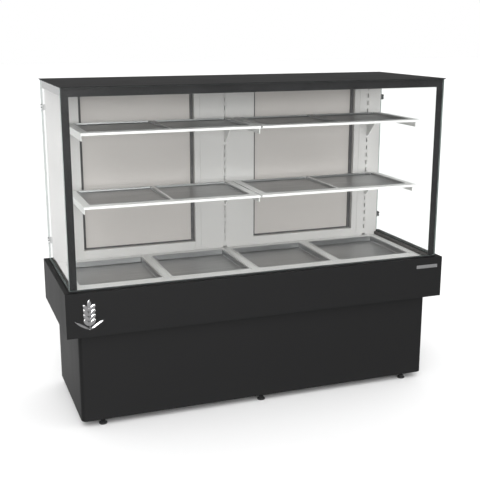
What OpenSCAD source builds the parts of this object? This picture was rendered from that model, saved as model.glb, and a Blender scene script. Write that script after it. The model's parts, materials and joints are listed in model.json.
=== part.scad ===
// Bakery display case: a floor-standing counter case with a glass front and sides, two
// shelves and a deck that carry lift-out trays, and two hinged doors on the server's side.
// X runs along the case, Y from the customer's side to the server's side, Z up.
// The origin is on the floor, under the centre of the case's box.

/* [Overall] */
// Width over the collar
case_w = 1500; // [1200:10:1800]
// Depth over the collar
case_d = 520; // [480:5:640]
// Height of the plinth cabinet
base_h = 337; // [250:1:420]
// Height of the collar around the deck
collar_h = 162; // [120:1:200]
// Height of the glass box above the collar
glass_h = 699; // [560:1:840]
// Thickness of the coated steel sheet
sheet = 1.5; // [1:0.1:2]

/* [Base] */
// Step from the collar's side in to the plinth's side
base_side_step = 46; // [20:1:80]
// Step from the collar's front back to the plinth's front
base_front_step = 40; // [20:1:80]
// Step from the collar's back in to the plinth's back
base_back_step = 14; // [8:1:40]
// Radius of the plinth's front corners
base_corner_r = 18; // [8:1:40]
// Flat return behind each rounded front corner
base_return = 12; // [6:1:30]
// Width of the floor frame's tubes
frame_tube_w = 40; // [30:1:60]
// Height of the floor frame's tubes
frame_tube_h = 30; // [20:1:40]
// Wall of the floor frame's tubes
frame_wall = 2; // [1.5:0.1:3]

/* [Feet] */
// Gap between floor and plinth
foot_h = 25; // [18:1:45]
// Radius of a foot's pad
foot_pad_r = 15; // [10:0.5:20]
// Height of a foot's pad
foot_pad_h = 8; // [5:0.5:12]
// Radius of a foot's threaded stud
foot_stud_r = 5; // [4:0.5:6]
// Radius of the bush that each stud turns in
foot_bush_r = 12; // [9:0.5:14]
// Corner radius of a foot's six-sided nut
foot_nut_r = 9.8; // [8:0.1:11]
// Height of that nut
foot_nut_h = 6; // [4:0.5:8]
// Inset of the outer feet from the plinth's sides
foot_side_inset = 80; // [40:1:150]
// Inset of the feet from the plinth's front and back
foot_edge_inset = 23; // [18:1:40]
// Radial running clearance of studs and door pins
pin_fit = 0.05; // [0.02:0.01:0.1]

/* [Collar and deck] */
// Width of the collar's top flange outside the side glass
side_flange = 20; // [12:1:40]
// Width of the collar's top flange outside the front glass
front_flange = 22; // [12:1:40]
// Width of the ledge inside the side glass
side_ledge = 14; // [6:1:30]
// Width of the collar's top flange at the back
back_flange = 14; // [10:1:20]
// Width of the folded foot that carries the deck
deck_foot = 15; // [8:1:20]
// Depth of the deck below the collar's top
deck_drop = 12; // [8:1:25]
// Thickness of the deck's sheet
deck_t = 2; // [1.5:0.1:3]
// Number of trays let into the deck
deck_trays = 4; // [2:1:6]
// Deck left bare at each side
deck_side_strip = 37.5; // [25:0.5:80]
// Deck left bare between two trays
deck_mid_strip = 47; // [25:0.5:80]
// Deck left bare in front of the trays
deck_front_strip = 112; // [40:1:150]
// Deck left bare behind the trays
deck_back_strip = 38; // [15:1:80]
// Height of the door sill above the deck
sill_h = 36; // [24:1:60]

/* [Trays] */
// Depth of a deck tray
deck_tray_depth = 20; // [10:1:40]
// Depth of a shelf tray
shelf_tray_depth = 7.5; // [5:0.5:8]
// Sheet of the trays
tray_sheet = 1; // [0.8:0.1:1.5]
// Overlap of a tray's rim on what carries it
tray_rim = 4; // [3:0.5:10]
// Gap around a tray in its well
tray_gap = 1.5; // [0.8:0.1:3]
// Gap under a tray's rim
rim_gap = 0.3; // [0.3:0.1:0.6]

/* [Glass] */
// Thickness of the glass
glass_t = 8; // [6:0.5:10]
// Joint between front glass and side glass
glass_joint = 1.2; // [1:0.1:2]
// Width of the dark border down the front glass
border_side = 28; // [15:1:50]
// Width of the dark border along the top of the glass
border_top = 31; // [20:1:50]
// Thickness of the border's coating
border_t = 0.8; // [0.5:0.1:1]
// Height of the gasket that the glass stands in
gasket_h = 4; // [3:0.5:8]
// Floor of that gasket under the glass
gasket_floor = 1.5; // [1:0.1:2.5]
// Wall of that gasket beside the glass
gasket_wall = 1.5; // [1:0.1:3]

/* [Roof] */
// Thickness of the roof plate
roof_t = 3; // [2:0.5:6]
// Roof plate's reach in front of the glass
roof_front_lap = 10; // [4:1:30]
// Roof plate's reach beyond the glass at each side
roof_side_lap = 0.5; // [0:0.1:10]
// Roof plate's reach behind the collar
roof_back_lap = 13; // [12:1:40]
// Height of the roof frame's tubes
rail_h = 30; // [20:1:40]
// Depth of the roof frame's front tube
front_rail_d = 28; // [20:1:50]
// Width of the roof frame's side tubes
side_rail_w = 20; // [14:1:40]

/* [Columns and shelves] */
// Depth of a column
column_d = 20; // [16:1:30]
// Width of the centre column
centre_column_w = 258; // [120:1:300]
// Width of an end column
end_column_w = 123; // [80:1:150]
// Gap between an end column and the side glass
column_gap = 6; // [4:1:12]
// Width of the jamb that a door closes on
jamb_w = 24; // [14:1:30]
// Step from a column's cover plate back to its jamb
jamb_step = 1.5; // [1:0.1:3]
// Width of a slotted standard
standard_w = 16; // [12:1:24]
// Depth of a slotted standard
standard_d = 12; // [8:1:14]
// Pitch of the standard's slots
slot_pitch = 32; // [25:1:50]
// Height of a slot
slot_h = 18; // [14:1:20]
// Width of a slot
slot_w = 4; // [3.5:0.1:4]
// Slot pitches from the collar's top to the lower shelf
lower_slots = 9; // [7:1:11]
// Slot pitches from the lower shelf to the upper shelf
upper_slots = 8; // [5:1:10]
// Height of the lowest shelf position above the collar's top
shelf_zero = -12; // [-15:1:15]
// Depth of a shelf
shelf_d = 330; // [260:5:400]
// Gap between the front glass and a shelf
shelf_front_gap = 40; // [15:1:60]
// Gap between the side glass and a shelf
shelf_side_gap = 62; // [20:1:100]
// Gap between the two halves of a shelf
shelf_mid_gap = 8; // [4:1:20]
// Thickness of a shelf
shelf_t = 10; // [9:0.5:20]
// Shelf left bare in front of its trays
shelf_front_strip = 40; // [20:1:60]
// Shelf left bare behind its trays
shelf_back_strip = 16; // [12:1:40]
// Shelf left bare beside its trays
shelf_side_strip = 32; // [15:1:50]
// Shelf left bare between its trays
shelf_mid_strip = 18; // [14:1:40]

/* [Brackets] */
// Thickness of a bracket's plate
bracket_t = 3; // [2:0.1:3.2]
// Height of a bracket's arm
bracket_h = 20; // [14:1:30]
// Width of the flange under a shelf
bracket_flange = 26; // [16:1:40]
// Shelf overhang in front of a bracket
bracket_setback = 22; // [5:1:60]
// Drop of the gusset's tip below the shelf
gusset_h = 100; // [60:1:110]
// Foot of the gusset along the column
gusset_toe = 12; // [6:1:20]
// Radius of the small holes in a bracket
bracket_hole_r = 2.5; // [1.5:0.1:4]
// Distance from a bracket's nose to its first hole
bracket_hole_start = 22; // [12:1:40]
// Pitch of the holes in a bracket
bracket_hole_pitch = 70; // [40:1:75]

/* [Doors] */
// Thickness of a door
door_t = 17.6; // [14:0.1:22]
// Sheet of a door
door_sheet = 1.2; // [1:0.1:2]
// Thickness of a door's seal
seal_t = 6; // [4:0.5:8]
// Gap between a closed seal and its jamb
seal_gap = 0.4; // [0.3:0.1:1]
// Width of the seal that shows in the doorway
seal_show = 12; // [6:1:20]
// Width of the seal that shows above the sill
seal_show_low = 5; // [3:1:14]
// Lap of a door over its doorway
door_lap = 10; // [6:1:12]
// Lap of a door over its doorway on the hinge side
hinge_lap = 20; // [18:1:30]
// Distance from the door's edge to its pivot
pivot_inset = 10; // [8:1:14]
// Radius of a pivot pin
pivot_r = 4; // [3:0.5:5]
// Depth of a pivot pin in the door
pivot_depth = 12; // [8:1:20]
// Gap between a door and its pivot blocks
pivot_gap = 2; // [1:0.5:3]
// Width of a pivot block
block_w = 24; // [18:1:26]
// Radius of the handle's bar
handle_r = 6; // [5:0.5:8]
// Length of the handle's bar
handle_l = 180; // [120:5:300]
// Finger room behind the handle's bar
handle_room = 24; // [18:1:40]
// Distance from the door's free edge to the handle
handle_inset = 32; // [24:1:60]

/* [Fittings] */
// Height of a glass clamp
clamp_h = 22; // [16:1:30]
// Reach of a clamp over the glass
clamp_reach = 18; // [10:1:25]
// Height of the lower clamps above the collar's top
clamp_low = 77; // [40:1:150]
// Drop of the upper clamps below the glass's top
clamp_high = 103; // [50:1:200]
// Radius of a screw's head
screw_head_r = 5; // [3:0.5:6]
// Radius of a screw's shank
screw_r = 2; // [1.5:0.1:2.5]
// Thickness of a screw's head
screw_head_h = 1.2; // [0.8:0.1:2]
// Inset of the back panels' screws from the edges
screw_inset = 24; // [16:1:40]
// Distance from the collar's front to its side screws
side_screw_back = 109; // [60:1:200]
// Height of the collar's screws above its foot
side_screw_up = 101; // [40:1:110]
// Thickness of the ear emblem and the blank plate
badge_t = 1.5; // [1:0.1:3]
// Height of the ear emblem
emblem_h = 110; // [60:1:120]
// Distance from the collar's end to the emblem's axis
emblem_inset = 82; // [58:1:150]
// Width of the blank plate
plate_w = 94; // [40:1:140]
// Height of the blank plate
plate_h = 14; // [8:1:20]
// Distance from the collar's end to the blank plate
plate_inset = 22; // [10:1:60]
// Drop of the blank plate's axis below the collar's top
plate_drop = 34; // [12:1:80]

/* [Hidden] */
$fn = 64;
// Overlap that joins two solids, and reach of a cut beyond what it cuts
tiny = 0.1;
cut = 2;
// Gaps between a panel and its frame, between two sheets, round a fitted part, and for room
panel_gap = 0.5;
seam = 0.3;
fit_gap = 0.2;
rail_gap = 0.4;
room = 1;
black = [0.11, 0.11, 0.115];
white = [0.93, 0.93, 0.92];
grey = [0.78, 0.78, 0.77];
steel = [0.62, 0.63, 0.65];
rubber = [0.05, 0.05, 0.05];

// Heights
base_z = foot_h;
collar_z = base_z + base_h;
top_z = collar_z + collar_h;
deck_z = top_z - deck_drop;
glass_z = top_z + gasket_floor;
roof_z = top_z + glass_h;
rail_z = roof_z - rail_h;
sill_z = deck_z + sill_h;

// Depths, with front_y the plane of the collar's front
door_y_local = case_d - column_back_inset() + seal_gap + seal_t;
function column_back_inset() = back_flange + 1;
rear_reach = door_y_local + door_t + handle_room + 2 * handle_r;
front_y = badge_t - (rear_reach + badge_t) / 2;
back_y = front_y + case_d;
glass_y = front_y + front_flange;
glass_in_y = glass_y + glass_t;
column_back_y = back_y - column_back_inset();
column_y = column_back_y - column_d;
door_y = front_y + door_y_local;
door_back_y = door_y + door_t;
base_y0 = front_y + base_front_step;
base_y1 = back_y - base_back_step;
side_joint_y = base_y0 + base_corner_r + base_return;

// Widths
half_w = case_w / 2;
base_x = half_w - base_side_step;
glass_x = half_w - side_flange;
glass_in_x = glass_x - glass_t;
deck_x = glass_in_x - side_ledge;
end_x1 = glass_in_x - column_gap;
end_x0 = end_x1 - end_column_w;
end_mid_x = (end_x0 + end_x1) / 2;
centre_x = centre_column_w / 2;

// Deck wells
front_ledge = front_flange + glass_t + sheet;
deck_y0 = front_y + front_ledge + tiny;
deck_y1 = column_back_y + tiny;
well_y0 = glass_in_y + deck_front_strip;
well_y1 = column_y - deck_back_strip;
well_w = (2 * deck_x - 2 * deck_side_strip - (deck_trays - 1) * deck_mid_strip) / deck_trays;
well_pitch = well_w + deck_mid_strip;
function well_x0(i) = -deck_x + deck_side_strip + i * well_pitch;

// Shelves
shelf_y0 = glass_in_y + shelf_front_gap;
shelf_x1 = glass_in_x - shelf_side_gap;
shelf_half_w = shelf_x1 - shelf_mid_gap / 2;
shelf_z = [top_z + shelf_zero + lower_slots * slot_pitch,
           top_z + shelf_zero + (lower_slots + upper_slots) * slot_pitch];
shelf_well_w = (shelf_half_w - 2 * shelf_side_strip - shelf_mid_strip) / 2;
shelf_well_y0 = shelf_y0 + shelf_front_strip;
shelf_well_d = shelf_d - shelf_front_strip - shelf_back_strip;
function shelf_well_x0(k) = shelf_mid_gap / 2 + shelf_side_strip
    + k * (shelf_well_w + shelf_mid_strip);

// Brackets hang from two slots of their standard
hook_t = 2.4;
hook_h = 12;
hook_turn = 6;
hook_reach = 4;
hook_play = 0.5;
first_drop = 24;
hook_drops = [first_drop, first_drop + 2 * slot_pitch];
standard_wall = 2;
standard_foot_gap = 8;
standard_head_gap = 5;
slots_below = 7;
standard_y = column_y + fit_gap;
standard_z0 = deck_z + standard_foot_gap;
standard_z1 = rail_z - standard_head_gap;
first_slot_z = shelf_z[0] - first_drop - slots_below * slot_pitch;
slot_count = floor((standard_z1 - slot_h - first_slot_z) / slot_pitch) + 1;

// Doors
door_x0 = centre_x - door_lap;
door_x1 = end_x0 + hinge_lap;
door_z0 = sill_z - door_lap;
door_head_gap = 2;
door_z1 = rail_z + door_lap - door_head_gap;
pivot_x = door_x1 - pivot_inset;
pivot_y = door_y + door_t / 2;
seal_x0 = door_x0 + room;
seal_x1 = pivot_x - room;
handle_z = (door_z0 + door_z1) / 2;
handle_x = door_x0 + handle_inset;
handle_y = door_back_y + handle_room + handle_r;
handle_post_r = handle_r - 1;
handle_post_inset = 15;
pivot_cover = 8;
block_back = 10;

// Feet
foot_xs = [-(base_x - foot_side_inset), 0, base_x - foot_side_inset];
foot_ys = [base_y0 + foot_edge_inset, base_y1 - foot_edge_inset];

// Lean of the emblem's grains and leaves from upright
grain_lean = 38;
leaf_lean = 58;

// Clamps
clamp_t = 3;
lobe_t = 2.5;

// Screws
collar_screw_y = front_y + side_screw_back;
collar_screw_z = collar_z + side_screw_up;
plug_t = 0.5;
base_shank = 0.4;
collar_shank = 4;
back_screw_xs = [-(base_x - screw_inset), 0, base_x - screw_inset];
back_screw_zs = [base_z + screw_inset, collar_z - screw_inset];

// A box given by its faces
module block(x0, x1, y0, y1, z0, z1) {
    translate([x0, y0, z0]) cube([x1 - x0, y1 - y0, z1 - z0]);
}

// A part modelled on the right, kept there for side 1 and mirrored for side -1
module on_side(side) {
    mirror([side < 0 ? 1 : 0, 0, 0]) children();
}

// An outline of [y, z] points run along X from x0 to x1
module along_x(x0, x1, outline) {
    translate([x0, 0, 0]) rotate([90, 0, 90]) linear_extrude(x1 - x0) polygon(outline);
}

// An outline of [x, z] points run along Y from y0 to y1
module along_y(y0, y1, outline) {
    translate([0, y1, 0]) rotate([90, 0, 0]) linear_extrude(y1 - y0) polygon(outline);
}

// ---- Plinth ----

module base_frame() {
    x1 = base_x - sheet - panel_gap;
    y0 = base_y0 + sheet + panel_gap;
    y1 = base_y1 - sheet - panel_gap;
    mid = frame_tube_w / 2;
    color(black) difference() {
        union() {
            difference() {
                frame_ring(x1, y0, y1, mid, 0);
                frame_ring(x1, y0, y1, mid, frame_wall);
            }
            for (x = foot_xs, y = foot_ys) {
                translate([x, y, base_z]) cylinder(r = foot_bush_r, h = frame_tube_h);
            }
        }
        for (x = foot_xs, y = foot_ys) {
            translate([x, y, base_z - cut])
                cylinder(r = foot_stud_r + pin_fit, h = frame_tube_h + 2 * cut);
        }
    }
}

// The floor frame's tubes, drawn in by a wall, with the front corners notched for the panel's
// rounded corners
module frame_ring(x1, y0, y1, mid, wall) {
    z0 = base_z + wall;
    z1 = base_z + frame_tube_h - wall;
    notch = base_corner_r - sheet + wall;
    difference() {
        block(-x1 + wall, x1 - wall, y0 + wall, y1 - wall, z0, z1);
        for (side = [-1, 1]) {
            on_side(side) block(x1 - notch, x1 + cut, y0 - cut, y0 + notch, z0 - cut, z1 + cut);
        }
        for (side = [-1, 1]) {
            on_side(side) block(mid - wall, x1 - frame_tube_w + wall,
                y0 + frame_tube_w - wall, y1 - frame_tube_w + wall, z0 - cut, z1 + cut);
        }
    }
}

// The plinth's plan with rounded front corners, drawn in by a wall
module plinth_front(wall, z0, z1) {
    r = base_corner_r - wall;
    y1 = side_joint_y + (wall > 0 ? base_corner_r : 0);
    intersection() {
        union() {
            block(-base_x + base_corner_r, base_x - base_corner_r, base_y0 + wall, y1, z0, z1);
            block(-base_x + wall, base_x - wall, base_y0 + base_corner_r, y1, z0, z1);
            for (side = [-1, 1]) {
                translate([side * (base_x - base_corner_r), base_y0 + base_corner_r, z0])
                    cylinder(r = r, h = z1 - z0);
            }
        }
        block(-base_x, base_x, base_y0, y1, z0, z1);
    }
}

module base_front_panel() {
    color(black) difference() {
        plinth_front(0, base_z, collar_z);
        plinth_front(sheet, base_z - cut, collar_z + cut);
    }
}

module base_side_panel(side) {
    color(black) on_side(side) union() {
        block(base_x - sheet, base_x, side_joint_y + seam, base_y1, base_z, collar_z);
        block(base_x - base_return, base_x - sheet, base_y1 - sheet, base_y1, base_z, collar_z);
    }
}

module base_back_panel() {
    x1 = base_x - base_return - panel_gap;
    color(black) difference() {
        union() {
            block(-x1, x1, base_y1 - sheet, base_y1, base_z, collar_z);
            for (z = [base_z, collar_z - sheet]) {
                block(-x1, x1, base_y1 - base_return, base_y1, z, z + sheet);
            }
        }
        frame_clear();
        back_screw_shanks(screw_r + fit_gap);
    }
}

// Room for the floor frame behind the folded edge of the back panel
module frame_clear() {
    block(-base_x, base_x, base_y0, base_y1 - sheet - seam, base_z - cut,
        base_z + frame_tube_h + room);
}

// ---- Collar ----

module collar_bottom() {
    color(black) block(-half_w + sheet, half_w - sheet, front_y + sheet, back_y - sheet,
        collar_z, collar_z + sheet);
}

// Folded section of a collar wall: d is measured inwards from the outer face
function collar_section(ledge) = [
    [0, collar_z], [0, top_z], [ledge, top_z], [ledge, deck_z - deck_t],
    [ledge + deck_foot, deck_z - deck_t], [ledge + deck_foot, deck_z - deck_t - sheet],
    [ledge - sheet, deck_z - deck_t - sheet], [ledge - sheet, top_z - sheet],
    [sheet, top_z - sheet], [sheet, collar_z]];

side_full_ledge = side_flange + glass_t + side_ledge;

// Plan of the collar's front or back wall, mitred at the corners
module cross_plan(ledge) {
    foot_x = deck_x - deck_foot - room;
    linear_extrude(collar_z + collar_h + cut) polygon([
        [-half_w, 0], [half_w, 0], [half_w - ledge, ledge], [foot_x, ledge],
        [foot_x, ledge + deck_foot], [-foot_x, ledge + deck_foot],
        [-foot_x, ledge], [-half_w + ledge, ledge]]);
}

module collar_front() {
    color(black) translate([0, front_y, 0]) intersection() {
        along_x(-half_w, half_w, collar_section(front_ledge));
        cross_plan(front_ledge);
    }
}

module collar_back() {
    color(black) difference() {
        translate([0, back_y, 0]) mirror([0, 1, 0]) intersection() {
            along_x(-half_w, half_w, collar_section(back_flange));
            cross_plan(back_flange);
        }
        collar_back_shanks(screw_r + fit_gap);
    }
}

module collar_side(side) {
    e = side_full_ledge + deck_foot;
    color(black) on_side(side) difference() {
        intersection() {
            along_y(front_y, back_y, [for (p = collar_section(side_full_ledge))
                [half_w - p[0], p[1]]]);
            linear_extrude(collar_z + collar_h + cut) polygon([
                [half_w, front_y], [half_w, back_y],
                [half_w - back_flange, back_y - back_flange],
                [half_w - e, back_y - back_flange], [half_w - e, front_y + front_ledge],
                [half_w - front_ledge, front_y + front_ledge]]);
        }
        translate([half_w - cut - sheet, collar_screw_y, collar_screw_z])
            rotate([0, 90, 0]) cylinder(r = screw_r + fit_gap, h = 2 * cut + sheet);
        translate([half_w - plug_t - tiny, collar_screw_y, collar_screw_z])
            rotate([0, 90, 0]) cylinder(r = screw_head_r + fit_gap, h = plug_t + cut);
    }
}

// ---- Deck ----

module deck_panel() {
    color(white) union() {
        difference() {
            block(-deck_x + tiny, deck_x - tiny, deck_y0, deck_y1, deck_z - deck_t, deck_z);
            for (i = [0 : deck_trays - 1]) {
                block(well_x0(i), well_x0(i) + well_w, well_y0, well_y1,
                    deck_z - deck_t - cut, deck_z + cut);
            }
        }
        for (side = [-1, 1]) {
            on_side(side) door_sill();
        }
    }
}

// The sill under one doorway: an upright and a flat top
module door_sill() {
    x0 = centre_x + seam;
    x1 = end_x0 - seam;
    block(x0, x1, column_y + cut, column_y + cut + sheet, deck_z - deck_t, sill_z);
    block(x0, x1, column_y + cut, column_back_y, sill_z - sheet, sill_z);
}

// ---- Glass ----

module front_glass() {
    color([0.85, 0.93, 0.92, 0.3]) block(-glass_x, glass_x, glass_y, glass_in_y, glass_z, roof_z);
}

module side_glass(side) {
    color([0.85, 0.93, 0.92, 0.3]) on_side(side) block(glass_in_x, glass_x,
        glass_in_y + glass_joint, column_back_y, glass_z, roof_z);
}

module glass_gasket() {
    w = glass_t + 2 * gasket_wall;
    color(rubber) difference() {
        union() {
            block(-glass_x - gasket_wall, glass_x + gasket_wall, glass_y - gasket_wall,
                glass_in_y + gasket_wall, top_z, top_z + gasket_h);
            for (side = [-1, 1]) {
                on_side(side) block(glass_in_x - gasket_wall, glass_in_x - gasket_wall + w,
                    glass_y - gasket_wall, column_back_y, top_z, top_z + gasket_h);
            }
        }
        block(-glass_x, glass_x, glass_y, glass_in_y, glass_z, top_z + gasket_h + cut);
        for (side = [-1, 1]) {
            on_side(side) block(glass_in_x, glass_x, glass_y, column_back_y + cut,
                glass_z, top_z + gasket_h + cut);
        }
    }
}

module glass_border() {
    z0 = top_z + gasket_h;
    band_z = roof_z - border_top;
    color(black) union() {
        difference() {
            block(-glass_x, glass_x, glass_in_y, glass_in_y + border_t, z0, roof_z);
            block(-glass_x + border_side, glass_x - border_side, glass_in_y - cut,
                glass_in_y + border_t + cut, z0 - cut, band_z);
        }
        for (side = [-1, 1]) {
            on_side(side) block(glass_in_x - border_t, glass_in_x,
                glass_in_y + glass_joint, column_back_y, band_z, roof_z);
        }
    }
}

// ---- Roof ----

module roof_panel() {
    color(black) block(-glass_x - roof_side_lap, glass_x + roof_side_lap,
        glass_y - roof_front_lap, back_y + roof_back_lap, roof_z, roof_z + roof_t);
}

module roof_frame() {
    color(black) difference() {
        roof_ring(0);
        roof_ring(sheet);
    }
}

// The roof frame's tubes, drawn in by a wall
module roof_ring(wall) {
    x1 = glass_in_x - border_t - rail_gap - wall;
    y0 = glass_in_y + border_t + rail_gap + wall;
    y1 = column_back_y - wall;
    difference() {
        block(-x1, x1, y0, y1, rail_z + wall, roof_z - wall);
        block(-x1 + side_rail_w - 2 * wall, x1 - side_rail_w + 2 * wall,
            y0 + front_rail_d - 2 * wall, y1 - column_d + 2 * wall,
            rail_z - cut, roof_z + cut);
    }
}

// ---- Columns and standards ----

// Plan of a column from x0 to x1 with a jamb at either edge, and its standard at mid
module column(x0, x1, jamb_0, jamb_1, mid) {
    y = column_y;
    back = column_back_y;
    step = jamb_step;
    outline = [[x0, y + jamb_0 * step], [x0 + jamb_w, y + jamb_0 * step], [x0 + jamb_w, y],
        [x1 - jamb_w, y], [x1 - jamb_w, y + jamb_1 * step], [x1, y + jamb_1 * step],
        [x1, back], [x0, back]];
    wall = sheet + step;
    color(grey) translate([0, 0, deck_z]) difference() {
        linear_extrude(rail_z - deck_z) polygon(outline);
        block(x0 + sheet, x1 - sheet, y + wall, back - sheet, -cut, rail_z);
        block(mid - standard_w / 2 - fit_gap, mid + standard_w / 2 + fit_gap, y - cut,
            y + wall + cut, -cut, rail_z);
    }
}

// An end column, notched at the foot over the collar's ledge
module column_end(side) {
    on_side(side) difference() {
        column(end_x0, end_x1, 1, 0, end_mid_x);
        block(deck_x - seam, end_x1 + cut, column_y - cut, column_back_y + cut,
            deck_z - cut, top_z + seam);
    }
}

module column_centre() {
    column(-centre_x, centre_x, 1, 1, 0);
}

module slotted_standards() {
    color(grey) for (x = [-end_mid_x, 0, end_mid_x]) {
        translate([x, 0, 0]) standard();
    }
}

module standard() {
    w = standard_w / 2;
    difference() {
        block(-w, w, standard_y, standard_y + standard_d, standard_z0, standard_z1);
        block(-w + standard_wall, w - standard_wall, standard_y + standard_wall,
            standard_y + standard_d + cut, standard_z0 - cut, standard_z1 + cut);
        for (i = [0 : slot_count - 1]) {
            z = first_slot_z + i * slot_pitch;
            block(-slot_w / 2, slot_w / 2, standard_y - cut, standard_y + standard_wall + cut,
                z - slot_h / 2, z + slot_h / 2);
        }
    }
}

// ---- Shelf brackets ----

// A bracket under level k at x. Its flange runs from f0 to f1 beside the plate
module bracket(k, x, f0, f1) {
    z = shelf_z[k];
    y0 = shelf_y0 + bracket_setback;
    y1 = standard_y;
    knee_y = y1 - gusset_toe - (gusset_h - bracket_h);
    arm = z - bracket_h;
    flange_t = 2;
    color(white) translate([x, 0, 0]) difference() {
        union() {
            along_x(-bracket_t / 2, bracket_t / 2, [[y0, arm], [y0, z], [y1, z],
                [y1, z - gusset_h], [y1 - gusset_toe, z - gusset_h], [knee_y, arm]]);
            block(f0, f1, y0, shelf_y0 + shelf_d - room, z - flange_t, z);
            for (drop = hook_drops) {
                bracket_hook(y1, z - drop);
            }
        }
        for (i = [0 : 2]) {
            translate([-bracket_t, y0 + bracket_hole_start + bracket_hole_pitch * i, z - bracket_h / 2])
                rotate([0, 90, 0]) cylinder(r = bracket_hole_r, h = 2 * bracket_t);
        }
    }
}

// A hook through the slot centred at height z, turned down behind the web
module bracket_hook(y, z) {
    near = y + standard_wall + hook_play;
    far = y + standard_wall + hook_reach;
    z0 = z - hook_h / 2;
    z1 = z + hook_h / 2;
    along_x(-hook_t / 2, hook_t / 2, [[y - tiny, z0], [y - tiny, z1], [far, z1],
        [far, z0 - hook_turn], [near, z0 - hook_turn], [near, z0]]);
}

// place is -1 for the left bracket, 0 for the centre one and 1 for the right one
module bracket_at(k, place) {
    t = bracket_t / 2;
    f0 = place == 0 ? -bracket_flange / 2 : -bracket_flange + t;
    f1 = place == 0 ? bracket_flange / 2 : t;
    if (place == 0) {
        bracket(k, 0, f0, f1);
    } else {
        on_side(place) bracket(k, end_mid_x, f0, f1);
    }
}

// ---- Shelves ----

module shelf(k, side) {
    z = shelf_z[k];
    x0 = shelf_mid_gap / 2;
    y1 = shelf_y0 + shelf_d;
    lip = sheet;
    color(white) on_side(side) difference() {
        block(x0, shelf_x1, shelf_y0, y1, z, z + shelf_t);
        difference() {
            block(x0 + lip, shelf_x1 - lip, shelf_y0 + lip, y1 - lip, z - cut, z + shelf_t - lip);
            for (w = [0, 1]) {
                shelf_well(w, z - 2 * cut, z + shelf_t, lip);
            }
        }
        for (w = [0, 1]) {
            shelf_well(w, z - 2 * cut, z + shelf_t + cut, 0);
        }
    }
}

// The opening for tray w of a half shelf, drawn out by a wall
module shelf_well(w, z0, z1, wall) {
    x0 = shelf_well_x0(w);
    block(x0 - wall, x0 + shelf_well_w + wall, shelf_well_y0 - wall,
        shelf_well_y0 + shelf_well_d + wall, z0, z1);
}

// ---- Trays ----

// A pan that hangs by its rim in a well with the given corner, size and top height
module tray(x0, y0, w, d, z, depth) {
    t = tray_sheet;
    rim_z = z + rim_gap;
    floor_z = rim_z - depth;
    gx0 = x0 + tray_gap;
    gx1 = x0 + w - tray_gap;
    gy0 = y0 + tray_gap;
    gy1 = y0 + d - tray_gap;
    color(steel) difference() {
        union() {
            block(gx0, gx1, gy0, gy1, floor_z, rim_z + t);
            block(x0 - tray_rim, x0 + w + tray_rim, y0 - tray_rim, y0 + d + tray_rim,
                rim_z, rim_z + t);
        }
        block(gx0 + t, gx1 - t, gy0 + t, gy1 - t, floor_z + t, rim_z + t + cut);
    }
}

module deck_tray(i) {
    tray(well_x0(i), well_y0, well_w, well_y1 - well_y0, deck_z, deck_tray_depth);
}

// Shelf trays are numbered 0 to 3 from the left
module shelf_tray(k, i) {
    w = i < 2 ? 1 - i : i - 2;
    on_side(i < 2 ? -1 : 1) tray(shelf_well_x0(w), shelf_well_y0, shelf_well_w,
        shelf_well_d, shelf_z[k] + shelf_t, shelf_tray_depth);
}

// ---- Doors ----

module door(side) {
    t = door_sheet;
    color(grey) on_side(side) difference() {
        union() {
            difference() {
                block(door_x0, door_x1, door_y, door_back_y, door_z0, door_z1);
                block(door_x0 + t, door_x1 - t, door_y + t, door_back_y - t,
                    door_z0 + t, door_z1 - t);
            }
            for (z = [door_z0, door_z1 - pivot_depth - pivot_cover]) {
                block(door_x1 - 2 * pivot_inset, door_x1 - tiny, door_y + tiny,
                    door_back_y - tiny, z + tiny, z + pivot_depth + pivot_cover - tiny);
            }
        }
        for (z = [door_z0 - cut, door_z1 - pivot_depth - room]) {
            translate([pivot_x, pivot_y, z])
                cylinder(r = pivot_r + pin_fit, h = pivot_depth + room + cut);
        }
    }
}

module door_seal(side) {
    y0 = door_y - seal_t;
    color(rubber) on_side(side) difference() {
        block(seal_x0, seal_x1, y0, door_y, door_z0 + room, door_z1 - room);
        block(centre_x + seal_show, end_x0 - seal_show, y0 - cut, door_y + cut,
            sill_z + seal_show_low, rail_z - seal_show);
    }
}

module door_handle(side) {
    post = handle_l / 2 - handle_post_inset;
    color(steel) on_side(side) union() {
        translate([handle_x, handle_y, handle_z - handle_l / 2])
            cylinder(r = handle_r, h = handle_l);
        for (dz = [-post, post]) {
            translate([handle_x, door_back_y, handle_z + dz]) rotate([-90, 0, 0])
                cylinder(r = handle_post_r, h = handle_room + handle_r);
        }
    }
}

// Blocks on the collar and under the roof, each with the pin that a door turns on
module door_pivots() {
    b = block_w / 2;
    color(steel) for (side = [-1, 1]) {
        on_side(side) translate([pivot_x, pivot_y, 0]) union() {
            block(-b, b, -b, block_back, top_z, door_z0 - pivot_gap);
            translate([0, 0, door_z0 - pivot_gap - tiny])
                cylinder(r = pivot_r, h = pivot_depth + pivot_gap);
            block(-b, b, -b, block_back, door_z1 + pivot_gap, roof_z);
            translate([0, 0, door_z1 - pivot_depth])
                cylinder(r = pivot_r, h = pivot_depth + pivot_gap + tiny);
        }
    }
}

// ---- Small fittings ----

module glass_clamps() {
    color(steel) for (side = [-1, 1], z = [top_z + clamp_low, roof_z - clamp_high]) {
        on_side(side) translate([0, 0, z - clamp_h / 2]) clamp();
    }
}

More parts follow.
